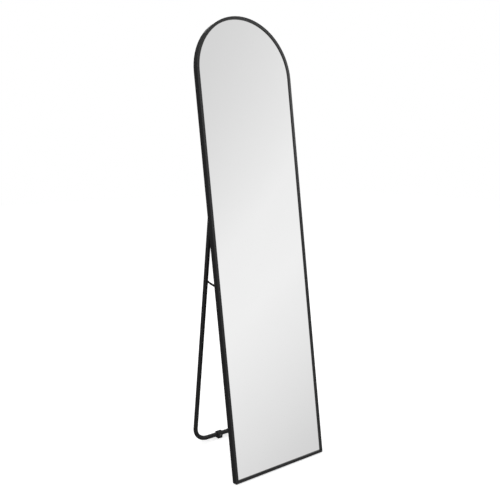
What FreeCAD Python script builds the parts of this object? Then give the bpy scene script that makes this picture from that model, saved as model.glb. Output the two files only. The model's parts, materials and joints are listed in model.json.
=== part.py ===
import FreeCAD, Part
import math
import os

import Sketcher
from FreeCAD import Placement, Rotation, Vector

# Arched floor mirror on a folding easel stand, in millimetres.
# Row frame: +X across the mirror, +Y from the glass towards the stand, +Z up.
# The origin lies on the floor, in the middle of the footprint.
# Mirror frame: x across, y into the mirror from the front of its frame, z up along its face.
# Stand frame: x across, y square to the legs' plane, z up along the legs from the bar's axis.

SIZES = {
    # the whole mirror
    "mirror_height": 1600.0,
    "mirror_width": 400.0,
    "lean_angle": 8.86,
    # the aluminium extrusion of the frame
    "frame_depth": 23.0,
    "frame_wall": 1.5,
    "lip_width": 10.0,
    "lip_depth": 3.5,
    "channel_width": 11.0,
    "edge_chamfer": 0.6,
    # the layers that slide into its groove
    "glass_thickness": 4.0,
    "film_thickness": 0.3,
    "foam_thickness": 2.0,
    "board_thickness": 3.0,
    "pane_gap": 1.0,
    "foam_inset": 6.0,
    # corner keys inside the rear channel
    "key_length": 42.0,
    "key_gap": 0.2,
    "key_screw_reach": 30.0,
    # self-tapping screws and blind rivets
    "screw_radius": 2.0,
    "screw_length": 5.0,
    "screw_head_radius": 3.6,
    "screw_head_height": 2.0,
    "rivet_radius": 2.0,
    "rivet_head_radius": 3.4,
    "rivet_head_height": 1.2,
    "hole_gap": 0.05,
    # rubber pads under the bottom rail
    "pad_thickness": 1.0,
    "pad_length": 34.0,
    "pad_front": 10.0,
    "pad_back": 20.5,
    "pad_inset": 50.0,
    # flat rails across the back
    "rail_thickness": 2.0,
    "rail_end_gap": 2.0,
    "hinge_rail_height": 38.0,
    "stay_rail_height": 28.0,
    "rail_screw_spacing": 18.0,
    # the leg hinge
    "pivot_height": 1015.5,
    "hinge_standoff": 20.0,
    "opening_angle": 17.2,
    "bracket_thickness": 2.0,
    "hinge_base_height": 34.0,
    "hinge_base_width": 46.0,
    "hinge_ear_radius": 9.0,
    "hinge_ear_foot": 13.0,
    "hinge_rivet_width": 34.0,
    "hinge_rivet_height": 20.0,
    "washer_thickness": 1.2,
    "washer_radius": 6.5,
    "washer_gap": 0.15,
    "bolt_radius": 3.0,
    "bolt_head_radius": 5.5,
    "bolt_head_height": 3.4,
    "bolt_overrun": 1.5,
    "nut_width": 10.0,
    "nut_height": 5.0,
    "nut_gap": 0.02,
    "running_gap": 0.05,
    # the stand's bent tubes
    "leg_inset": 42.0,
    "tube_diameter": 17.0,
    "tube_wall": 1.2,
    "bend_radius": 57.0,
    "bar_height": 15.0,
    "tube_overrun": 12.0,
    # moulded pieces in and on the tubes
    "plug_length": 24.0,
    "plug_cap_height": 3.0,
    "plug_chamfer": 1.2,
    "plug_gap": 0.15,
    "collar_width": 8.0,
    "collar_diameter": 18.6,
    "collar_chamfer": 0.5,
    "spigot_length": 60.0,
    "foot_spacing": 90.0,
    "foot_width": 22.0,
    "foot_radius": 13.0,
    "foot_depth": 24.0,
    "foot_fillet": 4.0,
    "foot_seat_depth": 0.8,
    "foot_screw_depth": 5.0,
    # the stays that hold the stand open
    "stay_pivot_height": 653.3,
    "stay_standoff": 10.0,
    "stay_stud_distance": 341.7,
    "stay_thickness": 2.0,
    "stay_height": 8.0,
    "stay_eye_radius": 5.0,
    "stay_hook_radius": 6.0,
    "stay_tube_gap": 2.0,
    "stay_side_gap": 0.4,
    "stay_ear_radius": 5.5,
    "stay_ear_foot": 9.0,
    "stay_base_height": 26.0,
    "stay_base_width": 22.0,
    "stay_rivet_height": 15.0,
    "stay_rivet_reach": 13.0,
    "stay_rivet_radius": 2.0,
    "stay_rivet_head_radius": 3.5,
    "stay_rivet_head_height": 1.2,
    "stud_radius": 2.0,
    "stud_head_radius": 4.0,
    "stud_head_height": 1.5,
    "stud_tail_radius": 2.8,
    "stud_tail_height": 1.0,
    "notch_gap": 0.3,
    "notch_ramp_angle": 52.0,
}

doc = FreeCAD.newDocument("floor_mirror")
sheet = doc.addObject("Spreadsheet::Sheet", "size")
nodes = []


def fill_cell(row, alias, number):
    sheet.set(f"A{row}", alias)
    sheet.set(f"B{row}", str(number))
    sheet.setAlias(f"B{row}", alias)


def value(expression):
    """The number that an expression on the sheet's sizes gives now."""
    return float(sheet.evalExpression(expression))


for row, (alias, number) in enumerate(SIZES.items(), start=1):
    fill_cell(row, alias, number)
doc.recompute()

# Sizes that follow from the ones above, each on the sheet too, in this order.
DERIVED = {
    "half_width": "size.mirror_width / 2",
    "channel_front": "size.lip_depth + size.glass_thickness + size.film_thickness"
                     " + size.foam_thickness + size.board_thickness",
    "channel_middle": "size.channel_width / 2",
    "rail_back": "size.frame_depth + size.rail_thickness",
    "base_lift": "size.frame_depth * sin(size.lean_angle) + size.pad_thickness",
    "tube_radius": "size.tube_diameter / 2",
    "bore_radius": "size.tube_diameter / 2 - size.tube_wall",
    "leg_reach": "size.half_width - size.leg_inset",
    "leg_angle": "size.opening_angle - size.lean_angle",
    "pivot_depth": "size.frame_depth + size.hinge_standoff",
    "pivot_back": "size.pivot_height * sin(size.lean_angle) + size.pivot_depth * cos(size.lean_angle)",
    "pivot_up": "size.base_lift + size.pivot_height * cos(size.lean_angle)"
                " - size.pivot_depth * sin(size.lean_angle)",
    "leg_length": "(size.pivot_up - size.bar_height) / cos(size.leg_angle)",
    "leg_top": "size.leg_length + size.tube_overrun",
    "bar_back": "size.pivot_back + size.leg_length * sin(size.leg_angle)",
    "footprint_middle": "(size.bar_back + size.foot_radius + size.edge_chamfer * sin(size.lean_angle)) / 2",
    "foot_reach": "size.foot_spacing / 2",
    "ear_inside": "size.tube_radius + size.washer_thickness + 2 * size.washer_gap",
    "ear_outside": "size.ear_inside + size.bracket_thickness",
    "stay_pivot_depth": "size.frame_depth + size.stay_standoff",
    "stud_depth": "size.pivot_depth + size.stay_stud_distance * sin(size.opening_angle)",
    "stud_height": "size.pivot_height - size.stay_stud_distance * cos(size.opening_angle)",
    "stay_rise": "size.stud_height - size.stay_pivot_height",
    "stay_run": "size.stud_depth - size.stay_pivot_depth",
    "stay_length": "sqrt(size.stay_rise ^ 2 + size.stay_run ^ 2)",
    "stay_angle": "atan(size.stay_rise / size.stay_run) / 1 deg",
    "stay_reach": "size.leg_reach - size.tube_radius - size.stay_tube_gap - size.stay_thickness / 2",
    "stay_ear_reach": "size.stay_reach - size.stay_thickness / 2 - size.stay_side_gap"
                      " - size.bracket_thickness",
    "notch_radius": "size.stud_radius + size.notch_gap",
}
for row, (alias, expression) in enumerate(DERIVED.items(), start=len(SIZES) + 1):
    fill_cell(row, alias, value(expression))
    doc.recompute()

SIDES = (("left", -1), ("right", 1))

mirror_place = Placement(Vector(0, -value("size.footprint_middle"), value("size.base_lift")),
                         Rotation(Vector(1, 0, 0), -value("size.lean_angle")))
bar_spot = Vector(0, value("size.bar_back - size.footprint_middle"), value("size.bar_height"))
stand_place = Placement(bar_spot, Rotation(Vector(1, 0, 0), value("size.leg_angle")))


def shifted(place, x="0", y="0", z="0"):
    """A frame moved along its own axes by three expressions."""
    return place * Placement(Vector(value(x), value(y), value(z)), Rotation())


def new_body(label, place):
    body = doc.addObject("PartDesign::Body", label)
    body.Label = label
    body.Placement = place
    nodes.append(body)
    return body


def sketch_on(body, plane, offset="0"):
    """A sketch on one of the body's own origin planes, moved along that plane's normal."""
    sketch = body.newObject("Sketcher::SketchObject", "Sketch")
    support = [feature for feature in body.Origin.OriginFeatures if feature.Role == plane]
    sketch.AttachmentSupport = (support[0], [""])
    sketch.MapMode = "FlatFace"
    sketch.setExpression("AttachmentOffset.Base.z", offset)
    return sketch


def dimension(sketch, kind, places, size):
    index = sketch.addConstraint(Sketcher.Constraint(kind, *places, value(size)))
    sketch.setExpression(f"Constraints[{index}]", size)


def pin_point(sketch, curve, end, x, y):
    dimension(sketch, "DistanceX", (-1, 1, curve, end), x)
    dimension(sketch, "DistanceY", (-1, 1, curve, end), y)


def draw_polygon(sketch, corners):
    """A closed outline through corners, each given by two expressions."""
    spots = [Vector(value(x), value(y), 0) for x, y in corners]
    first = sketch.GeometryCount
    count = len(corners)
    for index, spot in enumerate(spots):
        sketch.addGeometry(Part.LineSegment(spot, spots[(index + 1) % count]))
    for index, (x, y) in enumerate(corners):
        following = first + (index + 1) % count
        sketch.addConstraint(Sketcher.Constraint("Coincident", first + index, 2, following, 1))
        pin_point(sketch, first + index, 1, x, y)


def draw_circle(sketch, x, y, radius):
    centre = Vector(value(x), value(y), 0)
    index = sketch.addGeometry(Part.Circle(centre, Vector(0, 0, 1), value(radius)))
    pin_point(sketch, index, 3, x, y)
    dimension(sketch, "Radius", (index,), radius)


def draw_rectangle(sketch, x_low, x_high, y_low, y_high):
    draw_polygon(sketch, [(x_low, y_low), (x_high, y_low), (x_high, y_high), (x_low, y_high)])


def draw_arch(sketch, inset, closed=True):
    """The mirror's outline, set in from its outer edge: upright sides under a semicircle."""
    radius = f"size.half_width - ({inset})"
    spring = "size.mirror_height - size.half_width"
    across, top, foot = value(radius), value(spring), value(inset)
    sketch.addGeometry(Part.LineSegment(Vector(-across, foot, 0), Vector(-across, top, 0)))
    circle = Part.Circle(Vector(0, top, 0), Vector(0, 0, 1), across)
    sketch.addGeometry(Part.ArcOfCircle(circle, 0, math.pi))
    sketch.addGeometry(Part.LineSegment(Vector(across, top, 0), Vector(across, foot, 0)))
    sketch.addConstraint(Sketcher.Constraint("Tangent", 0, 2, 1, 2))
    sketch.addConstraint(Sketcher.Constraint("Tangent", 1, 1, 2, 1))
    sketch.addConstraint(Sketcher.Constraint("Vertical", 0))
    sketch.addConstraint(Sketcher.Constraint("PointOnObject", 1, 3, -2))
    dimension(sketch, "Radius", (1,), radius)
    dimension(sketch, "DistanceY", (-1, 1, 1, 3), spring)
    dimension(sketch, "DistanceY", (-1, 1, 0, 1), inset)
    dimension(sketch, "DistanceY", (-1, 1, 2, 2), inset)
    if closed:
        sketch.addGeometry(Part.LineSegment(Vector(across, foot, 0), Vector(-across, foot, 0)))
        sketch.addConstraint(Sketcher.Constraint("Coincident", 2, 2, 3, 1))
        sketch.addConstraint(Sketcher.Constraint("Coincident", 3, 2, 0, 1))


def draw_ear(sketch, rise, foot, radius):
    """A bracket's ear: a tapered tab from its base at x = 0 with a round end at the pin."""
    pin, low, round_end = value(rise), value(foot), value(radius)
    circle = Part.Circle(Vector(pin, 0, 0), Vector(0, 0, 1), round_end)
    sketch.addGeometry(Part.LineSegment(Vector(0, -low, 0), Vector(pin, -round_end, 0)))
    sketch.addGeometry(Part.ArcOfCircle(circle, -math.pi / 2, math.pi / 2))
    sketch.addGeometry(Part.LineSegment(Vector(pin, round_end, 0), Vector(0, low, 0)))
    sketch.addGeometry(Part.LineSegment(Vector(0, low, 0), Vector(0, -low, 0)))
    sketch.addConstraint(Sketcher.Constraint("Coincident", 0, 2, 1, 1))
    sketch.addConstraint(Sketcher.Constraint("Coincident", 1, 2, 2, 1))
    sketch.addConstraint(Sketcher.Constraint("Coincident", 2, 2, 3, 1))
    sketch.addConstraint(Sketcher.Constraint("Coincident", 3, 2, 0, 1))
    pin_point(sketch, 1, 3, rise, "0")
    pin_point(sketch, 0, 1, "0", f"-1 * ({foot})")
    pin_point(sketch, 2, 2, "0", foot)
    dimension(sketch, "Radius", (1,), radius)
    dimension(sketch, "DistanceX", (-1, 1, 1, 1), rise)
    dimension(sketch, "DistanceX", (-1, 1, 1, 2), rise)


def solid_step(body, kind, sketch, length=None, symmetric=False, back=False):
    """A pad or pocket of a sketch: of one length, or through everything both ways."""
    step = body.newObject(f"PartDesign::{kind}", kind)
    step.Profile = sketch
    if length is None:
        step.Type = "ThroughAll"
        step.SideType = "Symmetric"
    else:
        step.setExpression("Length", length)
        step.SideType = "Symmetric" if symmetric else "One side"
        step.Reversed = back
    body.Tip = step
    return step


def cut_to_check(body, sketch, **options):
    """A pocket that must take something off the body."""
    doc.recompute()
    before = body.Shape.Volume
    pocket = solid_step(body, "Pocket", sketch, **options)
    doc.recompute()
    if body.Shape.Volume > before - 1e-3:
        raise RuntimeError(f"a pocket of {body.Label} cuts nothing")
    return pocket


def rod(axis, radius, start, length, place):
    """A round bar along x or y of a frame, from start."""
    turn = Rotation(Vector(0, 1, 0), 90) if axis == "x" else Rotation(Vector(1, 0, 0), -90)
    offset = Vector(value(start), 0, 0) if axis == "x" else Vector(0, value(start), 0)
    bar = doc.addObject("Part::Cylinder", "Rod")
    bar.setExpression("Radius", radius)
    bar.setExpression("Height", length)
    bar.Placement = place * Placement(offset, turn)
    return bar


def joined(pieces):
    fusion = doc.addObject("Part::MultiFuse", "Joined")
    fusion.Shapes = pieces
    return fusion


def keep(label, shape_object):
    shape_object.Label = label
    nodes.append(shape_object)
    return shape_object


def keep_group(label, members):
    """Like fasteners share one node, each a solid of its own."""
    group = doc.addObject("Part::Compound", label)
    group.Links = members
    return keep(label, group)


def screw(place):
    """A pan-head screw whose head seats on y = 0 of its frame and whose shank points to -y."""
    head = rod("y", "size.screw_head_radius", "0", "size.screw_head_height", place)
    shank = rod("y", "size.screw_radius", "-size.screw_length", "size.screw_length", place)
    return joined([head, shank])


# --- frame: one bent extrusion for the sides and the arch, mitred to a bottom rail ---

CHAMFER = "size.edge_chamfer"
PROFILE = [
    (CHAMFER, "0"),
    ("size.lip_width", "0"),
    ("size.lip_width", "size.lip_depth"),
    ("size.frame_wall", "size.lip_depth"),
    ("size.frame_wall", "size.channel_front"),
    ("size.channel_width", "size.channel_front"),
    ("size.channel_width", "size.frame_depth"),
    (CHAMFER, "size.frame_depth"),
    ("0", f"size.frame_depth - {CHAMFER}"),
    ("0", CHAMFER),
]
CAVITY = [
    ("size.frame_wall", "size.channel_front + size.frame_wall"),
    ("size.channel_width - size.frame_wall", "size.channel_front + size.frame_wall"),
    ("size.channel_width - size.frame_wall", "size.frame_depth - size.frame_wall"),
    ("size.frame_wall", "size.frame_depth - size.frame_wall"),
]
RAIL_HEIGHTS = {"hinge": "size.pivot_height", "stay": "size.stay_pivot_height"}
RAIL_SCREW_STEPS = ("-size.rail_screw_spacing / 2", "size.rail_screw_spacing / 2")
SCREW_HOLE = "size.screw_radius + size.hole_gap"
RIVET_HOLE = "size.rivet_radius + size.hole_gap"


def mitre_corners(sketch, above):
    """Triangles on one side of the 45 degree lines through the two bottom corners."""
    for _, side in SIDES:
        edge = f"{side} * size.half_width"
        inner = f"{side} * (size.half_width - 2 * size.channel_width)"
        rise = "2 * size.channel_width"
        third = (edge, rise) if above else (inner, "0")
        draw_polygon(sketch, [(edge, "0"), (inner, rise), third])


frame_arch = new_body("frame_arch", mirror_place)
arch_section = sketch_on(frame_arch, "XY_Plane")
for outline in (PROFILE, CAVITY):
    draw_polygon(arch_section, [(f"{inward} - size.half_width", depth) for inward, depth in outline])
arch_path = sketch_on(frame_arch, "XZ_Plane")
draw_arch(arch_path, "0", closed=False)
sweep = frame_arch.newObject("PartDesign::AdditivePipe", "Sweep")
sweep.Profile = arch_section
sweep.Spine = (arch_path, ["Edge1", "Edge2", "Edge3"])
frame_arch.Tip = sweep
mitre = sketch_on(frame_arch, "XZ_Plane")
mitre_corners(mitre, above=False)
cut_to_check(frame_arch, mitre)
arch_holes = sketch_on(frame_arch, "XZ_Plane", "-size.frame_depth")
for _, side in SIDES:
    flange = f"{side} * (size.half_width - size.channel_middle)"
    draw_circle(arch_holes, flange, "size.key_screw_reach", SCREW_HOLE)
    for height in RAIL_HEIGHTS.values():
        for step in RAIL_SCREW_STEPS:
            draw_circle(arch_holes, flange, f"{height} + {step}", SCREW_HOLE)
cut_to_check(frame_arch, arch_holes, length="size.frame_wall", back=True)

bottom_rail = new_body("frame_bottom_rail", mirror_place)
rail_section = sketch_on(bottom_rail, "YZ_Plane")
for outline in (PROFILE, CAVITY):
    draw_polygon(rail_section, [(depth, inward) for inward, depth in outline])
solid_step(bottom_rail, "Pad", rail_section, length="size.mirror_width", symmetric=True)
mitre = sketch_on(bottom_rail, "XZ_Plane")
mitre_corners(mitre, above=True)
cut_to_check(bottom_rail, mitre)
bottom_holes = sketch_on(bottom_rail, "XZ_Plane", "-size.frame_depth")
for _, side in SIDES:
    reach = f"{side} * (size.half_width - size.key_screw_reach)"
    draw_circle(bottom_holes, reach, "size.channel_middle", SCREW_HOLE)
cut_to_check(bottom_rail, bottom_holes, length="size.frame_wall", back=True)

# L-shaped keys fill the channel round each bottom corner.
KEY_EDGE = "size.frame_wall + size.key_gap"
KEY_INNER = "size.channel_width - size.frame_wall - size.key_gap"
key_screws = []
for name, side in SIDES:
    key = new_body(f"corner_key_{name}", mirror_place)
    outline = sketch_on(key, "XZ_Plane", f"-size.channel_front - ({KEY_EDGE})")
    corners = [(KEY_EDGE, KEY_EDGE), ("size.key_length", KEY_EDGE), ("size.key_length", KEY_INNER),
               (KEY_INNER, KEY_INNER), (KEY_INNER, "size.key_length"), (KEY_EDGE, "size.key_length")]
    draw_polygon(outline, [(f"{side} * (size.half_width - ({x}))", y) for x, y in corners])
    solid_step(key, "Pad", outline, back=True,
               length=f"size.frame_depth - size.channel_front - 2 * ({KEY_EDGE})")
    holes = sketch_on(key, "XZ_Plane", "-size.frame_depth")
    spots = [(f"{side} * (size.half_width - size.channel_middle)", "size.key_screw_reach"),
             (f"{side} * (size.half_width - size.key_screw_reach)", "size.channel_middle")]
    for x, z in spots:
        draw_circle(holes, x, z, SCREW_HOLE)
        key_screws.append(screw(shifted(mirror_place, x, "size.frame_depth", z)))
    cut_to_check(key, holes, length="size.frame_depth", back=True)
keep_group("corner_key_screws", key_screws)

# --- what the groove holds: glass, film, foam and board, from the front ---

LAYERS = [
    ("mirror_glass", "glass_thickness", "size.frame_wall + size.pane_gap"),
    ("safety_film", "film_thickness", "size.frame_wall + size.pane_gap"),
    ("foam_sheet", "foam_thickness", "size.foam_inset"),
    ("backing_board", "board_thickness", "size.frame_wall + size.pane_gap"),
]
layer_front = "size.lip_depth"
for label, thickness, inset in LAYERS:
    layer = new_body(label, mirror_place)
    outline = sketch_on(layer, "XZ_Plane", f"-({layer_front})")
    draw_arch(outline, inset)
    solid_step(layer, "Pad", outline, length=f"size.{thickness}", back=True)
    layer_front = f"{layer_front} + size.{thickness}"

# --- rubber pads: wedges that fill the space between the leaning rail and the floor ---


def floor_below(depth):
    """Height of the floor in the mirror frame, under a point at some depth."""
    return f"(({depth}) * sin(size.lean_angle) - size.base_lift) / cos(size.lean_angle)"


for name, side in SIDES:
    pad = new_body(f"base_pad_{name}", shifted(mirror_place, f"{side} * (size.half_width - size.pad_inset)"))
    wedge = sketch_on(pad, "YZ_Plane")
    draw_polygon(wedge, [("size.pad_front", "0"), ("size.pad_back", "0"),
                         ("size.pad_back", floor_below("size.pad_back")),
                         ("size.pad_front", floor_below("size.pad_front"))])
    solid_step(pad, "Pad", wedge, length="size.pad_length", symmetric=True)

# --- rails across the back, which carry the hinges and the stays ---

HINGE_RIVETS = [(f"{x} * size.hinge_rivet_width / 2", f"{z} * size.hinge_rivet_height / 2")
                for x in (-1, 1) for z in (-1, 1)]
STAY_RIVETS = [("size.stay_rivet_reach", f"{z} * size.stay_rivet_height / 2") for z in (-1, 1)]


def rivet_spots(kind, side):
    """Rivets of one side's bracket on the rail, from the rail's middle."""
    if kind == "hinge":
        return [(f"{side} * size.leg_reach + {x}", z) for x, z in HINGE_RIVETS]
    return [(f"{side} * (size.stay_ear_reach - {x})", z) for x, z in STAY_RIVETS]


rail_screws = []
rivets = []
for kind, height in RAIL_HEIGHTS.items():
    rail_place = shifted(mirror_place, y="size.frame_depth", z=height)
    rail = new_body(f"{kind}_rail", rail_place)
    strip = sketch_on(rail, "XZ_Plane")
    half = f"size.{kind}_rail_height / 2"
    end = "size.half_width - size.rail_end_gap"
    draw_rectangle(strip, f"-1 * ({end})", end, f"-{half}", half)
    solid_step(rail, "Pad", strip, length="size.rail_thickness", back=True)
    holes = sketch_on(rail, "XZ_Plane")
    for _, side in SIDES:
        for step in RAIL_SCREW_STEPS:
            x = f"{side} * (size.half_width - size.channel_middle)"
            draw_circle(holes, x, step, SCREW_HOLE)
            rail_screws.append(screw(shifted(rail_place, x, "size.rail_thickness", step)))
        for x, z in rivet_spots(kind, side):
            draw_circle(holes, x, z, RIVET_HOLE)
            spot = shifted(rail_place, x, "0", z)
            shank_length = "size.rail_thickness + size.bracket_thickness"
            tail = rod("y", "size.rivet_head_radius", "-size.rivet_head_height",
                       "size.rivet_head_height", spot)
            shank = rod("y", "size.rivet_radius", "0", shank_length, spot)
            head = rod("y", "size.rivet_head_radius", shank_length, "size.rivet_head_height", spot)
            rivets.append(joined([tail, shank, head]))
    cut_to_check(rail, holes)
keep_group("rail_screws", rail_screws)
keep_group("bracket_rivets", rivets)

# --- leg hinges: a two-eared bracket, washers, bolt and lock nut on each side ---

PIVOT_RISE = "size.hinge_standoff - size.rail_thickness"
PIN_HOLE = "size.bolt_radius + size.running_gap"
washers = []
nuts = []
for name, side in SIDES:
    bracket_place = shifted(mirror_place, f"{side} * size.leg_reach", "size.rail_back",
                            "size.pivot_height")
    pivot_place = shifted(bracket_place, y=PIVOT_RISE)
    bracket = new_body(f"hinge_bracket_{name}", bracket_place)
    base = sketch_on(bracket, "XZ_Plane")
    draw_rectangle(base, "-size.hinge_base_width / 2", "size.hinge_base_width / 2",
                   "-size.hinge_base_height / 2", "size.hinge_base_height / 2")
    solid_step(bracket, "Pad", base, length="size.bracket_thickness", back=True)
    for start in ("-size.ear_outside", "size.ear_inside"):
        ear = sketch_on(bracket, "YZ_Plane", start)
        draw_ear(ear, PIVOT_RISE, "size.hinge_ear_foot", "size.hinge_ear_radius")
        solid_step(bracket, "Pad", ear, length="size.bracket_thickness")
    holes = sketch_on(bracket, "XZ_Plane")
    for x, z in HINGE_RIVETS:
        draw_circle(holes, x, z, RIVET_HOLE)
    cut_to_check(bracket, holes)
    pin_hole = sketch_on(bracket, "YZ_Plane")
    draw_circle(pin_hole, PIVOT_RISE, "0", PIN_HOLE)
    cut_to_check(bracket, pin_hole)

    outward = shifted(pivot_place)
    if side < 0:
        outward = pivot_place * Placement(Vector(), Rotation(Vector(0, 0, 1), 180))
    shank_end = "size.ear_outside + size.nut_height + size.bolt_overrun"
    head = rod("x", "size.bolt_head_radius", "size.ear_outside", "size.bolt_head_height", outward)
    shank = rod("x", "size.bolt_radius", f"-({shank_end})", f"{shank_end} + size.ear_outside", outward)
    keep(f"hinge_bolt_{name}", joined([head, shank]))

    nut = doc.addObject("Part::Prism", "Nut")
    nut.Polygon = 6
    nut.setExpression("Circumradius", "size.nut_width / 2 / cos(30)")
    nut.setExpression("Height", "size.nut_height")
    nut.Placement = shifted(outward, x="-size.ear_outside - size.nut_height") * Placement(
        Vector(), Rotation(Vector(0, 1, 0), 90))
    threaded = doc.addObject("Part::Cut", "NutWithHole")
    threaded.Base = nut
    threaded.Tool = rod("x", "size.bolt_radius + size.nut_gap", f"-({shank_end})", shank_end, outward)
    nuts.append(threaded)

    for start in ("-size.ear_inside + size.washer_gap", "size.tube_radius + size.washer_gap"):
        washer = doc.addObject("Part::Cut", "Washer")
        washer.Base = rod("x", "size.washer_radius", start, "size.washer_thickness", pivot_place)
        washer.Tool = rod("x", PIN_HOLE, start, "size.washer_thickness", pivot_place)
        washers.append(washer)
keep_group("hinge_nuts", nuts)
keep_group("hinge_washers", washers)

# --- stand: two bent tubes that meet on a moulded connector, on rubber feet ---

for name, side in SIDES:
    leg = new_body(f"stand_leg_{name}", stand_place)
    ring = sketch_on(leg, "XY_Plane", "size.leg_top")
    draw_circle(ring, f"{side} * size.leg_reach", "0", "size.tube_radius")
    draw_circle(ring, f"{side} * size.leg_reach", "0", "size.bore_radius")
    path = sketch_on(leg, "XZ_Plane")
    reach, bend = side * value("size.leg_reach"), value("size.bend_radius")
    centre = reach - side * bend
    circle = Part.Circle(Vector(centre, bend, 0), Vector(0, 0, 1), bend)
    start_angle = math.pi if side < 0 else 1.5 * math.pi
    path.addGeometry(Part.LineSegment(Vector(reach, value("size.leg_top"), 0), Vector(reach, bend, 0)))
    path.addGeometry(Part.ArcOfCircle(circle, start_angle, start_angle + math.pi / 2))
    bar_end = side * value("size.collar_width / 2")
    path.addGeometry(Part.LineSegment(Vector(centre, 0, 0), Vector(bar_end, 0, 0)))
    leg_side, bar_side = (1, 2) if side < 0 else (2, 1)
    path.addConstraint(Sketcher.Constraint("Tangent", 0, 2, 1, leg_side))
    path.addConstraint(Sketcher.Constraint("Tangent", 1, bar_side, 2, 1))
    path.addConstraint(Sketcher.Constraint("Vertical", 0))
    path.addConstraint(Sketcher.Constraint("Horizontal", 2))
    dimension(path, "Radius", (1,), "size.bend_radius")
    pin_point(path, 0, 1, f"{side} * size.leg_reach", "size.leg_top")
    pin_point(path, 2, 2, f"{side} * size.collar_width / 2", "0")
    sweep = leg.newObject("PartDesign::AdditivePipe", "Sweep")
    sweep.Profile = ring
    sweep.Spine = (path, ["Edge1", "Edge2", "Edge3"])
    leg.Tip = sweep
    pivot_hole = sketch_on(leg, "YZ_Plane")
    draw_circle(pivot_hole, "0", "size.leg_length", PIN_HOLE)
    cut_to_check(leg, pivot_hole)
    stud_hole = sketch_on(leg, "YZ_Plane")
    draw_circle(stud_hole, "0", "size.leg_length - size.stay_stud_distance",
                "size.stud_radius + size.hole_gap")
    cut_to_check(leg, stud_hole, length="size.leg_reach", back=side > 0)
    screw_hole = sketch_on(leg, "XZ_Plane")
    draw_circle(screw_hole, f"{side} * size.foot_reach", "0", SCREW_HOLE)
    cut_to_check(leg, screw_hole, length="size.tube_diameter", back=True)

    plug = new_body(f"leg_plug_{name}", shifted(stand_place, f"{side} * size.leg_reach", z="size.leg_top"))
    turned = sketch_on(plug, "XZ_Plane")
    stem = "size.bore_radius - size.plug_gap"
    draw_polygon(turned, [("0", "-size.plug_length"), (stem, "-size.plug_length"), (stem, "0"),
                          ("size.tube_radius", "0"),
                          ("size.tube_radius", "size.plug_cap_height - size.plug_chamfer"),
                          ("size.tube_radius - size.plug_chamfer", "size.plug_cap_height"),
                          ("0", "size.plug_cap_height")])
    spun = plug.newObject("PartDesign::Revolution", "Turned")
    spun.Profile = turned
    spun.ReferenceAxis = (turned, ["V_Axis"])
    plug.Tip = spun
    pivot_hole = sketch_on(plug, "YZ_Plane")
    draw_circle(pivot_hole, "0", "-size.tube_overrun", PIN_HOLE)
    cut_to_check(plug, pivot_hole)

connector = new_body("bar_connector", stand_place)
turned = sketch_on(connector, "XZ_Plane")
spigot = "size.bore_radius - size.plug_gap"
half_outline = [("size.spigot_length", "0"), ("size.spigot_length", spigot),
                ("size.collar_width / 2", spigot),
                ("size.collar_width / 2", "size.collar_diameter / 2 - size.collar_chamfer"),
                ("size.collar_width / 2 - size.collar_chamfer", "size.collar_diameter / 2")]
mirrored = [(f"-1 * ({x})", z) for x, z in reversed(half_outline)]
draw_polygon(turned, half_outline + mirrored)
spun = connector.newObject("PartDesign::Revolution", "Turned")
spun.Profile = turned
spun.ReferenceAxis = (turned, ["H_Axis"])
connector.Tip = spun
pilot_holes = sketch_on(connector, "XZ_Plane")
for _, side in SIDES:
    draw_circle(pilot_holes, f"{side} * size.foot_reach", "0", SCREW_HOLE)
cut_to_check(connector, pilot_holes, length="size.tube_diameter", back=True)

FOOT_SEAT = "size.foot_radius - size.foot_seat_depth"


def level(back, up):
    """A point beside the bar, given level with the floor, as stand-frame y and z."""
    return (f"({back}) * cos(size.leg_angle) + ({up}) * sin(size.leg_angle)",
            f"({up}) * cos(size.leg_angle) - ({back}) * sin(size.leg_angle)")


foot_screws = []
for name, side in SIDES:
    foot_place = shifted(stand_place, f"{side} * size.foot_reach")
    foot = new_body(f"stand_foot_{name}", foot_place)
    block = sketch_on(foot, "YZ_Plane")
    half = "size.foot_depth / 2"
    draw_polygon(block, [level(f"-{half}", "0"), level(f"-{half}", "-size.bar_height"),
                         level(half, "-size.bar_height"), level(half, "0")])
    block_pad = solid_step(foot, "Pad", block, length="size.foot_width", symmetric=True)
    doc.recompute()
    uprights = []
    for index, edge in enumerate(block_pad.Shape.Edges, start=1):
        along = edge.tangentAt(edge.FirstParameter)
        if abs(along.x) < 1e-6 and abs(edge.Length - value("size.bar_height")) < 1e-3:
            uprights.append(f"Edge{index}")
    rounding = foot.newObject("PartDesign::Fillet", "Rounding")
    rounding.Base = (block_pad, uprights)
    rounding.setExpression("Radius", "size.foot_fillet")
    foot.Tip = rounding
    ring = sketch_on(foot, "YZ_Plane")
    draw_circle(ring, "0", "0", "size.foot_radius")
    solid_step(foot, "Pad", ring, length="size.foot_width", symmetric=True)
    bore = sketch_on(foot, "YZ_Plane")
    draw_circle(bore, "0", "0", "size.tube_radius + size.hole_gap")
    cut_to_check(foot, bore)
    seat = sketch_on(foot, "XZ_Plane", FOOT_SEAT)
    draw_circle(seat, "0", "0", "size.screw_head_radius + size.hole_gap")
    cut_to_check(foot, seat, length="size.foot_radius", back=True)
    screw_hole = sketch_on(foot, "XZ_Plane")
    draw_circle(screw_hole, "0", "0", SCREW_HOLE)
    cut_to_check(foot, screw_hole, length="size.foot_radius", back=True)

    facing = shifted(foot_place, y=f"-({FOOT_SEAT})") * Placement(
        Vector(), Rotation(Vector(0, 0, 1), 180))
    head = rod("y", "size.screw_head_radius", "0", "size.screw_head_height", facing)
    depth = "size.foot_radius - size.foot_seat_depth - size.tube_radius + size.foot_screw_depth"
    shank = rod("y", "size.screw_radius", f"-({depth})", depth, facing)
    foot_screws.append(joined([head, shank]))
keep_group("foot_screws", foot_screws)

# --- stays: a hooked strip on each side, between a bracket on the mirror and a stud on the leg ---

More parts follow.
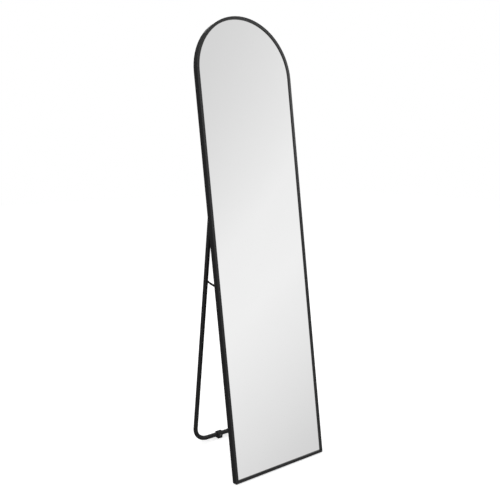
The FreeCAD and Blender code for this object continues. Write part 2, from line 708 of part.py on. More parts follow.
for name, side in SIDES:
    ear_place = shifted(mirror_place, f"{side} * size.stay_ear_reach", "size.rail_back",
                        "size.stay_pivot_height")
    pivot_rise = "size.stay_standoff - size.rail_thickness"
    bracket = new_body(f"stay_bracket_{name}", ear_place)
    base = sketch_on(bracket, "XZ_Plane")
    near = f"{side} * size.bracket_thickness"
    far = f"-{side} * (size.stay_base_width - size.bracket_thickness)"
    draw_rectangle(base, near, far, "-size.stay_base_height / 2", "size.stay_base_height / 2")
    solid_step(bracket, "Pad", base, length="size.bracket_thickness", back=True)
    ear = sketch_on(bracket, "YZ_Plane")
    draw_ear(ear, pivot_rise, "size.stay_ear_foot", "size.stay_ear_radius")
    solid_step(bracket, "Pad", ear, length="size.bracket_thickness", back=side < 0)
    holes = sketch_on(bracket, "XZ_Plane")
    for x, z in STAY_RIVETS:
        draw_circle(holes, f"-{side} * ({x})", z, RIVET_HOLE)
    cut_to_check(bracket, holes)
    pin_hole = sketch_on(bracket, "YZ_Plane")
    draw_circle(pin_hole, pivot_rise, "0", "size.stay_rivet_radius + size.running_gap")
    cut_to_check(bracket, pin_hole)

    stay_place = shifted(mirror_place, f"{side} * size.stay_reach", "size.stay_pivot_depth",
                         "size.stay_pivot_height")
    stay_place = stay_place * Placement(Vector(), Rotation(Vector(1, 0, 0), value("size.stay_angle")))
    stay = new_body(f"stay_{name}", stay_place)
    half = "size.stay_height / 2"
    strip = sketch_on(stay, "YZ_Plane")
    draw_rectangle(strip, "0", "size.stay_length", f"-{half}", half)
    solid_step(stay, "Pad", strip, length="size.stay_thickness", symmetric=True)
    for spot, radius in (("0", "size.stay_eye_radius"), ("size.stay_length", "size.stay_hook_radius")):
        end = sketch_on(stay, "YZ_Plane")
        draw_circle(end, spot, "0", radius)
        solid_step(stay, "Pad", end, length="size.stay_thickness", symmetric=True)
    eye = sketch_on(stay, "YZ_Plane")
    draw_circle(eye, "0", "0", "size.stay_rivet_radius + size.running_gap")
    cut_to_check(stay, eye)
    seat = sketch_on(stay, "YZ_Plane")
    draw_circle(seat, "size.stay_length", "0", "size.notch_radius")
    cut_to_check(stay, seat)
    mouth = sketch_on(stay, "YZ_Plane")
    seat_x = "size.stay_length - size.notch_radius * cos(size.notch_ramp_angle)"
    seat_z = "size.notch_radius * sin(size.notch_ramp_angle)"
    low = "-2 * size.stay_hook_radius"
    run = f"({seat_z} + 2 * size.stay_hook_radius) * tan(size.notch_ramp_angle)"
    nose = "size.stay_length + size.notch_radius"
    draw_polygon(mouth, [(seat_x, seat_z), (f"{seat_x} - {run}", low), (nose, low), (nose, "0")])
    cut_to_check(stay, mouth)

    outward = shifted(stay_place)
    if side < 0:
        outward = stay_place * Placement(Vector(), Rotation(Vector(0, 0, 1), 180))
    outer_face = "size.stay_thickness / 2 + size.stay_side_gap"
    inner_face = f"{outer_face} + size.bracket_thickness"
    # the heads stand off the strip by the side gap, so that it swings freely on the shank
    tail = rod("x", "size.stay_rivet_head_radius", f"-({inner_face}) - size.stay_rivet_head_height",
               "size.stay_rivet_head_height", outward)
    shank = rod("x", "size.stay_rivet_radius", f"-({inner_face})", f"{inner_face} + {outer_face}", outward)
    head = rod("x", "size.stay_rivet_head_radius", outer_face, "size.stay_rivet_head_height", outward)
    keep(f"stay_rivet_{name}", joined([tail, shank, head]))

    stud_place = shifted(stand_place, f"{side} * size.leg_reach",
                         z="size.leg_length - size.stay_stud_distance")
    inward = shifted(stud_place)
    if side > 0:
        inward = stud_place * Placement(Vector(), Rotation(Vector(0, 0, 1), 180))
    tail_seat = "size.bore_radius - size.tube_wall"
    head_start = "size.tube_radius + size.stay_tube_gap + size.stay_thickness + size.stay_side_gap"
    tail = rod("x", "size.stud_tail_radius", f"{tail_seat} - size.stud_tail_height",
               "size.stud_tail_height", inward)
    shank = rod("x", "size.stud_radius", tail_seat, f"{head_start} - ({tail_seat})", inward)
    head = rod("x", "size.stud_head_radius", head_start, "size.stud_head_height", inward)
    keep(f"stay_stud_{name}", joined([tail, shank, head]))

# --- check every object, then write one file for each node ---

doc.recompute()
for item in doc.Objects:
    if "Invalid" in item.State or "Error" in item.State:
        raise RuntimeError(f"{item.Name} of the model failed: {item.State}")
os.makedirs("parts", exist_ok=True)
for node in nodes:
    if node.Shape.isNull() or not node.Shape.isValid() or node.Shape.Volume <= 0:
        raise RuntimeError(f"{node.Label} has no valid solid")
    node.Shape.exportStep(f"parts/{node.Label}.step")
print(len(nodes), "nodes written")
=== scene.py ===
import json
import math

import bmesh
import bpy
from mathutils import Matrix, Vector


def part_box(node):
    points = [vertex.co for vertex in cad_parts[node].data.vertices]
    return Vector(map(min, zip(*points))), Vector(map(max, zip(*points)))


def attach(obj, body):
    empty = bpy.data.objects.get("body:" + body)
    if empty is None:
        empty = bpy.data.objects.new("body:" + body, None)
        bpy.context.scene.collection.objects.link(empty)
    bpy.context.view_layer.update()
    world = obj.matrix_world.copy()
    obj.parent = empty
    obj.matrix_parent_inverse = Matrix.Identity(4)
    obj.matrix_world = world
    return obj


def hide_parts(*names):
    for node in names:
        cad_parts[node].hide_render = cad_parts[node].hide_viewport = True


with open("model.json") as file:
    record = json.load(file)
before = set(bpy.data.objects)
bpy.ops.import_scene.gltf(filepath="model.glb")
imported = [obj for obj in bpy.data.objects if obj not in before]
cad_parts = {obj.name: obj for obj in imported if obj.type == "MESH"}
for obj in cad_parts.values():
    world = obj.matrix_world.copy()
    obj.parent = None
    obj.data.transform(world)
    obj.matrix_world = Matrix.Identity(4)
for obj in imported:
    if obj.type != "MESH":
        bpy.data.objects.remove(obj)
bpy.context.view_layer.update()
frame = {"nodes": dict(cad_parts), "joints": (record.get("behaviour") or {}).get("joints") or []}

# ---------------------------------------------------------------- studio and camera
# A pale seamless studio: a white floor, and soft lamps at the front left, the front right and
# behind. The camera stands at the front left at chest height and looks slightly down, so that
# the glass shows the soft greys of the studio in front of it.

camera_data = bpy.data.cameras.new("camera")
camera_data.lens = 44.09
camera_data.shift_y = 0.032
camera = bpy.data.objects.new("camera", camera_data)
camera.location = (-1.3035, -1.7554, 1.1199)
camera.rotation_euler = (math.radians(79.565), 0, math.radians(-36.344))
bpy.context.scene.collection.objects.link(camera)
bpy.context.scene.camera = camera
bpy.context.scene.view_settings.view_transform = "Standard"

mirror_middle = Vector((0, 0, 0.8))


def soft_lamp(name, spot, width, power, in_gloss):
    """A square softbox that faces the middle of the mirror."""
    light = bpy.data.lights.new(name, "AREA")
    light.size, light.energy = width, power
    lamp = bpy.data.objects.new(name, light)
    lamp.location = spot
    lamp.rotation_euler = (mirror_middle - Vector(spot)).to_track_quat("-Z", "Y").to_euler()
    lamp.visible_glossy = in_gloss
    bpy.context.scene.collection.objects.link(lamp)


soft_lamp("key_softbox", (-2.2, -2.4, 2.8), width=1.8, power=42, in_gloss=False)
soft_lamp("fill_softbox", (2.63, -1.64, 2.3), width=1.2, power=28, in_gloss=True)
soft_lamp("back_softbox", (1.6, 2.6, 2.6), width=1.4, power=22, in_gloss=True)

# The walls: white where the camera sees them, and where gloss sees them, a band of light
# in front of the glass that fades upwards, downwards and towards the back of the studio.
# The band lies round an axis that points up in front of the mirror: each fade says how far a
# reflected ray points along that axis, from -1 to 1, and how grey the wall is there.
world = bpy.data.worlds.new("studio")
bpy.context.scene.world = world
world.use_nodes = True
wall_nodes, wall_links = world.node_tree.nodes, world.node_tree.links
wall = wall_nodes["Background"]
wall.inputs["Color"].default_value = (1, 1, 1, 1)
wall.inputs["Strength"].default_value = 0.6
direction = wall_nodes.new("ShaderNodeTexCoord")
band = wall_nodes.new("ShaderNodeVectorMath")
band.operation = "DOT_PRODUCT"
band_axis = (-0.1291, -0.732, 0.669)
band.inputs[1].default_value = band_axis
fade = wall_nodes.new("ShaderNodeMapRange")
fade.inputs["From Min"].default_value = -1.0
greys = wall_nodes.new("ShaderNodeValToRGB")
fades = [(-1.0, 0.16), (-0.4, 0.2), (0.1, 0.5), (0.337, 0.71), (0.386, 0.785), (0.424, 0.834),
         (0.455, 0.868), (0.52, 0.93), (0.597, 0.915), (0.634, 0.86), (0.67, 0.81),
         (0.704, 0.762), (0.743, 0.715), (1.0, 0.66)]
while len(greys.color_ramp.elements) < len(fades):
    greys.color_ramp.elements.new(0.5)
for stop, (along, grey) in zip(greys.color_ramp.elements, fades):
    stop.position = (along + 1) / 2
    stop.color = (grey, grey, grey, 1)
gloss_wall = wall_nodes.new("ShaderNodeBackground")
white_wall = wall_nodes.new("ShaderNodeBackground")
white_wall.inputs["Color"].default_value = (1, 1, 1, 1)
ray = wall_nodes.new("ShaderNodeLightPath")
gloss_or_not = wall_nodes.new("ShaderNodeMixShader")
seen_or_not = wall_nodes.new("ShaderNodeMixShader")
clear_or_seen = wall_nodes.new("ShaderNodeMath")
clear_or_seen.operation = "MAXIMUM"
wall_links.new(direction.outputs["Generated"], band.inputs[0])
wall_links.new(band.outputs["Value"], fade.inputs["Value"])
wall_links.new(fade.outputs["Result"], greys.inputs["Fac"])
wall_links.new(greys.outputs["Color"], gloss_wall.inputs["Color"])
wall_links.new(ray.outputs["Is Glossy Ray"], gloss_or_not.inputs["Fac"])
wall_links.new(wall.outputs["Background"], gloss_or_not.inputs[1])
wall_links.new(gloss_wall.outputs["Background"], gloss_or_not.inputs[2])
wall_links.new(ray.outputs["Is Camera Ray"], clear_or_seen.inputs[0])
wall_links.new(ray.outputs["Is Transmission Ray"], clear_or_seen.inputs[1])
wall_links.new(clear_or_seen.outputs["Value"], seen_or_not.inputs["Fac"])
wall_links.new(gloss_or_not.outputs["Shader"], seen_or_not.inputs[1])
wall_links.new(white_wall.outputs["Background"], seen_or_not.inputs[2])
wall_links.new(seen_or_not.outputs["Shader"], wall_nodes["World Output"].inputs["Surface"])

# The floor: pale and matt, with a little white of its own for the camera, so that it meets
# the walls without an edge and still takes the object's shadow.
floor_width = 24
bpy.ops.object.select_all(action="DESELECT")
bpy.ops.mesh.primitive_plane_add(size=floor_width)
floor = bpy.context.object
floor.name = "studio_floor"
floor.visible_glossy = False
paint = bpy.data.materials.new("studio_floor_paint")
paint.use_nodes = True
floor_nodes, floor_links = paint.node_tree.nodes, paint.node_tree.links
matt = floor_nodes["Principled BSDF"]
matt.inputs["Base Color"].default_value = (0.82, 0.82, 0.82, 1)
matt.inputs["Roughness"].default_value = 0.9
matt.inputs["Specular IOR Level"].default_value = 0.0
matt.inputs["Emission Color"].default_value = (1, 1, 1, 1)
seen = floor_nodes.new("ShaderNodeLightPath")
lift = floor_nodes.new("ShaderNodeMath")
lift.operation = "MULTIPLY"
lift.inputs[1].default_value = 0.54
floor_links.new(seen.outputs["Is Camera Ray"], lift.inputs[0])
floor_links.new(lift.outputs["Value"], matt.inputs["Emission Strength"])
floor.data.materials.append(paint)

# ---------------------------------------------------------------- frame
# One aluminium extrusion is bent round the arch and down both sides; a straight length of
# it, mitred at 45 degrees, closes the bottom. Both are powder-coated satin black, which
# leaves a very fine orange peel.


def powder_coat(name, shade, gloss, peel_height):
    """Satin black powder on metal: tone and gloss drift softly, over a fine peel."""
    coat = bpy.data.materials.new(name)
    coat.use_nodes = True
    nodes, links = coat.node_tree.nodes, coat.node_tree.links
    shader = nodes["Principled BSDF"]
    shader.inputs["Specular IOR Level"].default_value = 0.32
    place = nodes.new("ShaderNodeTexCoord")
    drift = nodes.new("ShaderNodeTexNoise")
    drift.inputs["Scale"].default_value = 11
    drift.inputs["Detail"].default_value = 4
    tone = nodes.new("ShaderNodeValToRGB")
    for stop, share in zip(tone.color_ramp.elements, (0.82, 1.2)):
        stop.color = (*[share * part for part in shade], 1)
    tone.color_ramp.elements[0].position = 0.3
    tone.color_ramp.elements[1].position = 0.7
    polish = nodes.new("ShaderNodeMapRange")
    polish.inputs["To Min"].default_value, polish.inputs["To Max"].default_value = gloss
    peel = nodes.new("ShaderNodeTexNoise")
    peel.inputs["Scale"].default_value = 1300
    peel.inputs["Detail"].default_value = 2
    relief = nodes.new("ShaderNodeBump")
    relief.inputs["Strength"].default_value = 0.5
    relief.inputs["Distance"].default_value = peel_height
    links.new(place.outputs["Object"], drift.inputs["Vector"])
    links.new(place.outputs["Object"], peel.inputs["Vector"])
    links.new(drift.outputs["Fac"], tone.inputs["Fac"])
    links.new(tone.outputs["Color"], shader.inputs["Base Color"])
    links.new(peel.outputs["Fac"], polish.inputs["Value"])
    links.new(polish.outputs["Result"], shader.inputs["Roughness"])
    links.new(peel.outputs["Fac"], relief.inputs["Height"])
    links.new(relief.outputs["Normal"], shader.inputs["Normal"])
    return coat


def dress(finish, *names):
    """Gives CAD nodes their finish."""
    for name in names:
        piece = frame["nodes"][name]
        if not piece.material_slots:
            piece.data.materials.append(finish)
        for slot in piece.material_slots:
            slot.material = finish


frame_coat = powder_coat("satin_black_frame", shade=(0.008, 0.008, 0.0085), gloss=(0.36, 0.52),
                         peel_height=0.00003)
dress(frame_coat, "frame_arch", "frame_bottom_rail")

# ---------------------------------------------------------------- mirror glass
# Four millimetre float glass, silvered on the back and slid into the groove of the frame.
# It is clean and clear, with only a breath of haze where it was wiped.

silver = bpy.data.materials.new("silvered_glass")
silver.use_nodes = True
silver_nodes, silver_links = silver.node_tree.nodes, silver.node_tree.links
silvering = silver_nodes["Principled BSDF"]
silvering.inputs["Metallic"].default_value = 1.0
silver_place = silver_nodes.new("ShaderNodeTexCoord")
wipe = silver_nodes.new("ShaderNodeTexNoise")
wipe.inputs["Scale"].default_value = 5
wipe.inputs["Detail"].default_value = 5
wipe.inputs["Distortion"].default_value = 0.6
haze = silver_nodes.new("ShaderNodeMapRange")
haze.inputs["To Min"].default_value = 0.01
haze.inputs["To Max"].default_value = 0.035
silver_tone = silver_nodes.new("ShaderNodeValToRGB")
silver_tone.color_ramp.elements[0].color = (0.923, 0.923, 0.923, 1)
silver_tone.color_ramp.elements[1].color = (0.943, 0.943, 0.943, 1)
silver_links.new(silver_place.outputs["Object"], wipe.inputs["Vector"])
silver_links.new(wipe.outputs["Fac"], haze.inputs["Value"])
silver_links.new(haze.outputs["Result"], silvering.inputs["Roughness"])
silver_links.new(wipe.outputs["Fac"], silver_tone.inputs["Fac"])
silver_links.new(silver_tone.outputs["Color"], silvering.inputs["Base Color"])
dress(silver, "mirror_glass")

# ---------------------------------------------------------------- film, foam and board
# A clear-grey safety film is glued to the paint of the silvering, a thin sheet of
# closed-cell foam lies on it, and a hardboard panel in the same groove closes the back,
# its smooth brown-black face outwards.


def sheet_finish(name, dark, light, grain, rough, relief_height, stretch=(1, 1, 1), metallic=0.0):
    """Two tones mixed by a grain that may run longer one way, which also dulls and lifts."""
    finish = bpy.data.materials.new(name)
    finish.use_nodes = True
    nodes, links = finish.node_tree.nodes, finish.node_tree.links
    shader = nodes["Principled BSDF"]
    shader.inputs["Metallic"].default_value = metallic
    place = nodes.new("ShaderNodeTexCoord")
    stretched = nodes.new("ShaderNodeMapping")
    stretched.inputs["Scale"].default_value = stretch
    fibre = nodes.new("ShaderNodeTexNoise")
    fibre.inputs["Scale"].default_value = grain
    fibre.inputs["Detail"].default_value = 8
    fibre.inputs["Roughness"].default_value = 0.7
    tone = nodes.new("ShaderNodeValToRGB")
    tone.color_ramp.elements[0].position = 0.35
    tone.color_ramp.elements[1].position = 0.68
    tone.color_ramp.elements[0].color = (*dark, 1)
    tone.color_ramp.elements[1].color = (*light, 1)
    dull = nodes.new("ShaderNodeMapRange")
    dull.inputs["To Min"].default_value, dull.inputs["To Max"].default_value = rough
    relief = nodes.new("ShaderNodeBump")
    relief.inputs["Strength"].default_value = 0.6
    relief.inputs["Distance"].default_value = relief_height
    links.new(place.outputs["Object"], stretched.inputs["Vector"])
    links.new(stretched.outputs["Vector"], fibre.inputs["Vector"])
    links.new(fibre.outputs["Fac"], tone.inputs["Fac"])
    links.new(tone.outputs["Color"], shader.inputs["Base Color"])
    links.new(fibre.outputs["Fac"], dull.inputs["Value"])
    links.new(dull.outputs["Result"], shader.inputs["Roughness"])
    links.new(fibre.outputs["Fac"], relief.inputs["Height"])
    links.new(relief.outputs["Normal"], shader.inputs["Normal"])
    return finish


film = sheet_finish("clear_grey_film", dark=(0.5, 0.52, 0.55), light=(0.6, 0.62, 0.65), grain=30,
                    rough=(0.25, 0.4), relief_height=0.00002)
foam = sheet_finish("closed_cell_foam", dark=(0.74, 0.74, 0.72), light=(0.86, 0.86, 0.84),
                    grain=700, rough=(0.75, 0.9), relief_height=0.0002)
hardboard = sheet_finish("smooth_hardboard", dark=(0.056, 0.040, 0.028),
                         light=(0.094, 0.070, 0.051), grain=420, rough=(0.46, 0.62),
                         relief_height=0.00004, stretch=(1, 1, 0.4))
dress(film, "safety_film")
dress(foam, "foam_sheet")
dress(hardboard, "backing_board")

# ---------------------------------------------------------------- corner keys and screws
# L-shaped keys cut from aluminium plate fill the hollow channel round both bottom corners.
# A black pan-head screw goes into each leg of a key from the back.

mill_finish = sheet_finish("mill_aluminium", dark=(0.5, 0.5, 0.51), light=(0.66, 0.66, 0.67),
                           grain=260, rough=(0.35, 0.5), relief_height=0.00002,
                           stretch=(1, 1, 0.1), metallic=1.0)
dress(mill_finish, "corner_key_left", "corner_key_right")

half_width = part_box("frame_arch")[1].x
frame_depth = 0.023
channel_middle = 0.0055  # the middle of the hollow channel, in from the outer edge
key_screw_reach = 0.030  # from the mirror's outer corner to a screw, along a leg of the key

# Screws and blind rivets are placed on the leaning back from the pin of the leg hinges. The
# joint gives its place, which is 1015.5 mm up the mirror's face and 20 mm behind the frame.
lean = math.radians(8.86)
face_up = Vector((0, math.sin(lean), math.cos(lean)))
backwards = Vector((0, math.cos(lean), -math.sin(lean)))
pins = {joint["name"]: Vector(joint["pos_m"]) for joint in frame["joints"]}
hinge_height, hinge_standoff = 1.0155, 0.020


def on_mirror(across, depth, height):
    """A point given across the mirror, into it from its front, and up its face."""
    rise = face_up * (height - hinge_height)
    inset = backwards * (depth - frame_depth - hinge_standoff)
    return pins["stand_fold"] + Vector((across, 0, 0)) + rise + inset


def pick_faces(piece, wanted):
    """Selects, in edit mode, the faces whose middle and normal pass a test."""
    mesh = bmesh.from_edit_mesh(piece.data)
    for face in mesh.faces:
        face.select_set(wanted(face.calc_center_median(), face.normal))
    bmesh.update_edit_mesh(piece.data)


def add_rod(radius, length, middle=(0, 0, 0), turn=(0, 0, 0), sides=32):
    """Adds an upright cylinder about its middle, turned if need be, as the only selection."""
    bpy.ops.object.select_all(action="DESELECT")
    bpy.ops.mesh.primitive_cylinder_add(vertices=sides, radius=radius, depth=length,
                                        location=middle, rotation=turn)
    return bpy.context.object


def headed_pin(head, rounding, shank, tail=None):
    """A pin with a domed head seated on z = 0. Head, shank and tail are (radius, length)."""
    pin = add_rod(*head, middle=(0, 0, head[1] / 2))
    bpy.ops.object.transform_apply()
    bpy.ops.object.mode_set(mode="EDIT")
    bpy.ops.mesh.select_mode(type="FACE")
    pick_faces(pin, lambda middle, normal: normal.z > 0.9)
    bpy.ops.mesh.bevel(offset=rounding, segments=4, affect="EDGES")
    pick_faces(pin, lambda middle, normal: normal.z < -0.9)
    bpy.ops.mesh.inset(thickness=head[0] - shank[0])
    bpy.ops.mesh.extrude_region_move(TRANSFORM_OT_translate={"value": (0, 0, -shank[1])})
    if tail:
        bpy.ops.mesh.extrude_region_move()
        spread = tail[0] / shank[0]
        bpy.ops.transform.resize(value=(spread, spread, 1))
        bpy.ops.mesh.extrude_region_move(TRANSFORM_OT_translate={"value": (0, 0, -tail[1])})
    bpy.ops.object.mode_set(mode="OBJECT")
    return pin


def carve(piece, cutter, operation="DIFFERENCE"):
    """Cuts one piece out of another, or joins it on, and takes the tool away."""
    cut = piece.modifiers.new("cut", "BOOLEAN")
    cut.operation, cut.object, cut.solver = operation, cutter, "EXACT"
    bpy.ops.object.select_all(action="DESELECT")
    bpy.context.view_layer.objects.active = piece
    piece.select_set(True)
    bpy.ops.object.modifier_apply(modifier="cut")
    bpy.data.objects.remove(cutter)


crease = math.radians(32)  # edges sharper than this stay sharp in the shading


def set_copies(master, name, seats, finish, body, slot, *nodes):
    """Copies a master pin to its seats, each a point and the way its head faces, as one piece."""
    bpy.ops.object.select_all(action="DESELECT")
    copies = []
    for seat, facing in seats:
        copy = bpy.data.objects.new(name, master.data.copy())
        bpy.context.scene.collection.objects.link(copy)
        turned = facing.to_track_quat("Z", "X").to_matrix().to_4x4()
        copy.matrix_world = Matrix.Translation(seat) @ turned
        copy.select_set(True)
        copies.append(copy)
    bpy.context.view_layer.objects.active = copies[0]
    bpy.ops.object.transform_apply()
    if len(copies) > 1:
        bpy.ops.object.join()
    group = bpy.context.object
    bpy.ops.object.shade_smooth_by_angle(angle=crease)
    group.data.materials.clear()
    group.data.materials.append(finish)
    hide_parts(*nodes)
    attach(group, body)
    return group


def drive_cross(pin, top):
    """Cuts a cross recess into a screw's head, with two blades centred on its top."""
    blade_length, blade_width, blade_height = 0.0044, 0.0009, 0.0024
    for width, length in ((blade_length, blade_width), (blade_width, blade_length)):
        bpy.ops.object.select_all(action="DESELECT")
        bpy.ops.mesh.primitive_cube_add(size=1, location=(0, 0, top))
        blade = bpy.context.object
        bpy.ops.transform.resize(value=(width, length, blade_height))
        carve(pin, blade)


def zinc(name, shade):
    """Black zinc plating: metal with a faint crystal spangle and an uneven sheen."""
    plate = bpy.data.materials.new(name)
    plate.use_nodes = True
    nodes, links = plate.node_tree.nodes, plate.node_tree.links
    shader = nodes["Principled BSDF"]
    shader.inputs["Metallic"].default_value = 0.75
    place = nodes.new("ShaderNodeTexCoord")
    spangle = nodes.new("ShaderNodeTexVoronoi")
    spangle.inputs["Scale"].default_value = 900
    tone = nodes.new("ShaderNodeValToRGB")
    tone.color_ramp.elements[0].color = (*[0.75 * part for part in shade], 1)
    tone.color_ramp.elements[1].color = (*[1.3 * part for part in shade], 1)
    sheen = nodes.new("ShaderNodeMapRange")
    sheen.inputs["To Min"].default_value = 0.3
    sheen.inputs["To Max"].default_value = 0.46
    links.new(place.outputs["Object"], spangle.inputs["Vector"])
    links.new(spangle.outputs["Color"], tone.inputs["Fac"])
    links.new(tone.outputs["Color"], shader.inputs["Base Color"])
    links.new(spangle.outputs["Distance"], sheen.inputs["Value"])
    links.new(sheen.outputs["Result"], shader.inputs["Roughness"])
    return plate


screw_plate = zinc("black_zinc_screws", shade=(0.05, 0.05, 0.055))
pan_head_height = 0.002
pan_screw = headed_pin(head=(0.0036, pan_head_height), rounding=0.0013, shank=(0.002, 0.005))
drive_cross(pan_screw, pan_head_height)
corner_seats = [(on_mirror(side * (half_width - inwards), frame_depth, height), backwards)
                for side in (-1, 1)
                for inwards, height in ((channel_middle, key_screw_reach),
                                        (key_screw_reach, channel_middle))]
set_copies(pan_screw, "corner_pan_screws", corner_seats, screw_plate,
           "mirror", "black_zinc", "corner_key_screws")

# ---------------------------------------------------------------- base pads
# Two wedges of black rubber are glued under the bottom rail and fill the space between the
# leaning rail and the floor, so that the mirror stands on rubber and doesn't slide.

rubber = sheet_finish("matt_black_rubber", dark=(0.007, 0.007, 0.007),
                      light=(0.014, 0.014, 0.014), grain=420, rough=(0.68, 0.86),
                      relief_height=0.00008)
dress(rubber, "base_pad_left", "base_pad_right")

# ---------------------------------------------------------------- rails and brackets
# Two flat steel rails are screwed across the back of the frame, two screws a side. The
# folded brackets of the leg hinges and the stays are riveted on them. All are powder-coated.

steel_coat = powder_coat("satin_black_steel", shade=(0.016, 0.016, 0.0165), gloss=(0.4, 0.58),
                         peel_height=0.00004)
dress(steel_coat, "hinge_rail", "stay_rail", "hinge_bracket_left", "hinge_bracket_right",
      "stay_bracket_left", "stay_bracket_right")

rail_thickness, bracket_thickness = 0.002, 0.002
rail_back = frame_depth + rail_thickness
bracket_back = rail_back + bracket_thickness
stay_rail_height = 0.6533
screw_step = 0.009  # each rail screw's distance above or below the middle of its rail
rail_seats = [(on_mirror(side * (half_width - channel_middle), rail_back, height + step), backwards)
              for side in (-1, 1)
              for height in (hinge_height, stay_rail_height)
              for step in (-screw_step, screw_step)]
set_copies(pan_screw, "rail_pan_screws", rail_seats, screw_plate,
           "mirror", "black_zinc", "rail_screws")

rivet_black = zinc("black_rivets", shade=(0.04, 0.04, 0.043))
blind_rivet = headed_pin(head=(0.0034, 0.0012), rounding=0.0008, shank=(0.002, 0.004),
                         tail=(0.0034, 0.0012))
mandrel_rim, mandrel_depth = 0.0014, 0.0006
bpy.ops.object.mode_set(mode="EDIT")
pick_faces(blind_rivet, lambda middle, normal: normal.z > 0.95 and middle.z > 0.001)
bpy.ops.mesh.inset(thickness=mandrel_rim)
bpy.ops.mesh.extrude_region_move(TRANSFORM_OT_translate={"value": (0, 0, -mandrel_depth)})
bpy.ops.object.mode_set(mode="OBJECT")


def middle_of(node):
    """The middle of a CAD node's box."""
    low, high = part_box(node)
    return (low + high) / 2


leg_across = middle_of("leg_plug_right").x
rivet_step, rivet_rise = 0.017, 0.010  # sideways and upwards from a hinge bracket's middle
stay_rivet_inset = 0.015  # inwards from the ear of a stay bracket
stay_rivet_rise = 0.0075
stay_rivet_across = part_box("stay_bracket_right")[1].x - stay_rivet_inset
rivet_seats = []
for side in (-1, 1):
    spots = [(side * leg_across + step, hinge_height + rise)
             for step in (-rivet_step, rivet_step)
             for rise in (-rivet_rise, rivet_rise)]
    spots += [(side * stay_rivet_across, stay_rail_height + rise)
              for rise in (-stay_rivet_rise, stay_rivet_rise)]
    rivet_seats += [(on_mirror(across, bracket_back, height), backwards)
                    for across, height in spots]
set_copies(blind_rivet, "bracket_blind_rivets", rivet_seats, rivet_black,
           "mirror", "rivet_steel", "bracket_rivets")
bpy.data.objects.remove(blind_rivet)

# ---------------------------------------------------------------- leg hinges
# A button-head bolt of black-zinced steel goes through both ears of each bracket and the top
# of the leg, with a nylon washer on either side of the tube and a lock nut on the inner side.

hinge_pin = pins["stand_fold"]
ear_reach = 0.012  # from the middle of the leg to the outer face of either ear of its bracket
bolt_finish = zinc("black_zinc_bolts", shade=(0.045, 0.045, 0.05))
button_bolt = headed_pin(head=(0.0055, 0.0034), rounding=0.0024, shank=(0.003, 0.0305))
socket_radius, socket_floor, cutter_length = 0.0023, 0.0015, 0.004
carve(button_bolt, add_rod(socket_radius, cutter_length,
                           middle=(0, 0, socket_floor + cutter_length / 2), sides=6))
for name, side in (("left", -1), ("right", 1)):
    outward = Vector((side, 0, 0))
    head_seat = hinge_pin + outward * (leg_across + ear_reach)
    set_copies(button_bolt, f"button_bolt_{name}", [(head_seat, outward)], bolt_finish,
               "mirror", "black_zinc", f"hinge_bolt_{name}")
bpy.data.objects.remove(button_bolt)


def round_rims(piece, wanted, offset, segments):
    """Bevels the rims of the faces that pass a test, once the piece's place is in its mesh."""
    bpy.ops.object.transform_apply()
    bpy.ops.object.mode_set(mode="EDIT")
    bpy.ops.mesh.select_mode(type="FACE")
    pick_faces(piece, wanted)
    bpy.ops.mesh.bevel(offset=offset, segments=segments, affect="EDGES")
    bpy.ops.object.mode_set(mode="OBJECT")


nut_width, nut_height, hexagon_height = 0.010, 0.005, 0.0034
hexagon_radius = nut_width / 2 / math.cos(math.radians(30))
collar_radius, collar_length = 0.0043, 0.0024
thread_radius, cutter_length = 0.00302, 0.02
lock_nut = add_rod(hexagon_radius, hexagon_height, middle=(0, 0, hexagon_height / 2), sides=6)
round_rims(lock_nut, lambda middle, normal: abs(normal.z) > 0.9, offset=0.0004, segments=1)
nylon_collar = add_rod(collar_radius, collar_length, middle=(0, 0, nut_height - collar_length / 2))
round_rims(nylon_collar, lambda middle, normal: normal.z > 0.9, offset=0.0008, segments=3)
carve(lock_nut, nylon_collar, "UNION")
carve(lock_nut, add_rod(thread_radius, cutter_length))
nut_seats = [(hinge_pin + Vector((side * (leg_across - ear_reach), 0, 0)), Vector((-side, 0, 0)))
             for side in (-1, 1)]
set_copies(lock_nut, "hinge_lock_nuts", nut_seats, bolt_finish,
           "mirror", "black_zinc", "hinge_nuts")
bpy.data.objects.remove(lock_nut)

nylon = sheet_finish("black_nylon", dark=(0.03, 0.03, 0.03), light=(0.045, 0.045, 0.045),
                     grain=500, rough=(0.4, 0.5), relief_height=0.00002)
dress(nylon, "hinge_washers")

# ---------------------------------------------------------------- stand
# Two bent steel tubes, powder-coated, meet on a moulded connector in the middle of the
# crossbar and make one U. Moulded plugs close the tops of the legs.

tube_coat = powder_coat("satin_black_tube", shade=(0.0075, 0.0075, 0.008), gloss=(0.34, 0.5),
                        peel_height=0.00003)
dress(tube_coat, "stand_leg_left", "stand_leg_right")
moulding = sheet_finish("fine_grained_moulding", dark=(0.018, 0.018, 0.018),
                        light=(0.028, 0.028, 0.028), grain=800, rough=(0.5, 0.64),
                        relief_height=0.00003)
dress(moulding, "leg_plug_left", "leg_plug_right", "bar_connector")

# ---------------------------------------------------------------- stand feet
# Each foot is a rubber block with a ring round the crossbar. A pan-head screw through the
# front of the ring holds it to the tube, and its flat sole stands level on the floor.

bar_middle = middle_of("bar_connector")
leg_down = (bar_middle - hinge_pin).normalized()
screw_facing = Vector((0, leg_down.z, -leg_down.y))  # square to the leg, towards the front

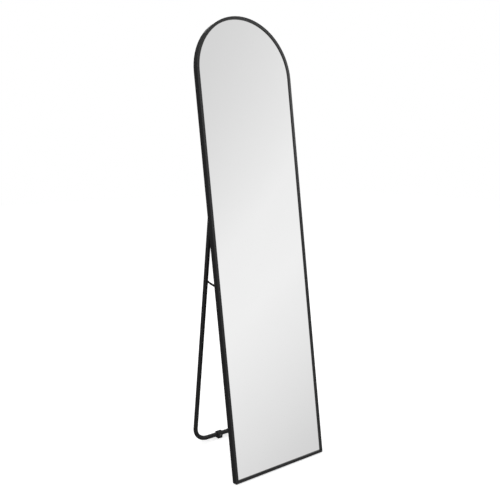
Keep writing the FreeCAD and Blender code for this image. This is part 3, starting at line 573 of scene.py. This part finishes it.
foot_width, foot_depth, corner_rounding = 0.022, 0.024, 0.004
ring_radius, bore_radius, cutter_length = 0.013, 0.00855, 0.03
screw_seat = 0.0122  # from the middle of the bar to the floor of the screw's recess
recess_radius, recess_length = 0.0038, 0.010
bpy.ops.object.select_all(action="DESELECT")
bpy.ops.mesh.primitive_cube_add(size=1, location=(0, bar_middle.y, bar_middle.z / 2))
foot_form = bpy.context.object
bpy.ops.transform.resize(value=(foot_width, foot_depth, bar_middle.z))
bpy.ops.object.transform_apply()
bpy.ops.object.mode_set(mode="EDIT")
block = bmesh.from_edit_mesh(foot_form.data)
bpy.ops.mesh.select_mode(type="EDGE")
for edge in block.edges:
    upright = abs(edge.verts[0].co.z - edge.verts[1].co.z) > bar_middle.z / 2
    edge.select_set(upright)
bmesh.update_edit_mesh(foot_form.data)
bpy.ops.mesh.bevel(offset=corner_rounding, segments=6, affect="EDGES")
bpy.ops.object.mode_set(mode="OBJECT")
round_rims(foot_form, lambda middle, normal: normal.z < -0.9, offset=0.0008, segments=3)

lying_across = (0, math.pi / 2, 0)
ring = add_rod(ring_radius, foot_width, middle=bar_middle, turn=lying_across, sides=64)
round_rims(ring, lambda middle, normal: abs(normal.x) > 0.9, offset=0.0012, segments=4)
carve(foot_form, ring, "UNION")
carve(foot_form, add_rod(bore_radius, cutter_length,
                         middle=bar_middle, turn=lying_across, sides=64))
recess_middle = bar_middle + screw_facing * (screw_seat + recess_length / 2)
recess_turn = screw_facing.to_track_quat("Z", "X").to_euler()
carve(foot_form, add_rod(recess_radius, recess_length, middle=recess_middle, turn=recess_turn))
bpy.ops.object.shade_smooth_by_angle(angle=crease)
foot_form.data.materials.append(rubber)

foot_across = middle_of("stand_foot_right").x
for name, side in (("left", -1), ("right", 1)):
    foot = bpy.data.objects.new(f"rubber_foot_{name}", foot_form.data.copy())
    bpy.context.scene.collection.objects.link(foot)
    foot.data.transform(Matrix.Translation((side * foot_across, 0, 0)))
    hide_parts(f"stand_foot_{name}")
    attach(foot, "stand")
bpy.data.objects.remove(foot_form)

foot_seats = [(bar_middle + Vector((side * foot_across, 0, 0)) + screw_facing * screw_seat,
               screw_facing)
              for side in (-1, 1)]
# The foot screws are a lighter grey than the black zinc of the other screws. This is a painted
# highlight that makes a light dot at the front of each foot.
foot_screw_plate = zinc("painted_highlight_zinc_screws", shade=(0.16, 0.16, 0.165))
set_copies(pan_screw, "foot_pan_screws", foot_seats, foot_screw_plate,
           "stand", "black_zinc", "foot_screws")
bpy.data.objects.remove(pan_screw)

# ---------------------------------------------------------------- stays
# A hooked strip of steel on each side swings on a rivet in its bracket. Its notch drops
# over a shouldered stud in the leg and holds the stand open at its angle.

dress(steel_coat, "stay_left", "stay_right")
stay_rivet = headed_pin(head=(0.0035, 0.0012), rounding=0.0008, shank=(0.002, 0.0048),
                        tail=(0.0035, 0.0012))
stud = headed_pin(head=(0.004, 0.0015), rounding=0.0009, shank=(0.002, 0.0068),
                  tail=(0.0028, 0.001))
stay_across = middle_of("stay_right").x
head_gap = 0.0014  # half the stay's thickness and the room beside it
stud_distance = 0.3417  # down the leg from the hinge's pin
stud_spot = hinge_pin + leg_down * stud_distance
for name, side in (("left", -1), ("right", 1)):
    outward = Vector((side, 0, 0))
    rivet_seat = pins[f"stay_{name}_swing"] + outward * (stay_across + head_gap)
    set_copies(stay_rivet, f"stay_pivot_rivet_{name}", [(rivet_seat, outward)], rivet_black,
               "mirror", "rivet_steel", f"stay_rivet_{name}")
    stud_seat = stud_spot + outward * (stay_across - head_gap)
    set_copies(stud, f"leg_stud_{name}", [(stud_seat, -outward)], rivet_black,
               "stand", "rivet_steel", f"stay_stud_{name}")
bpy.data.objects.remove(stay_rivet)
bpy.data.objects.remove(stud)
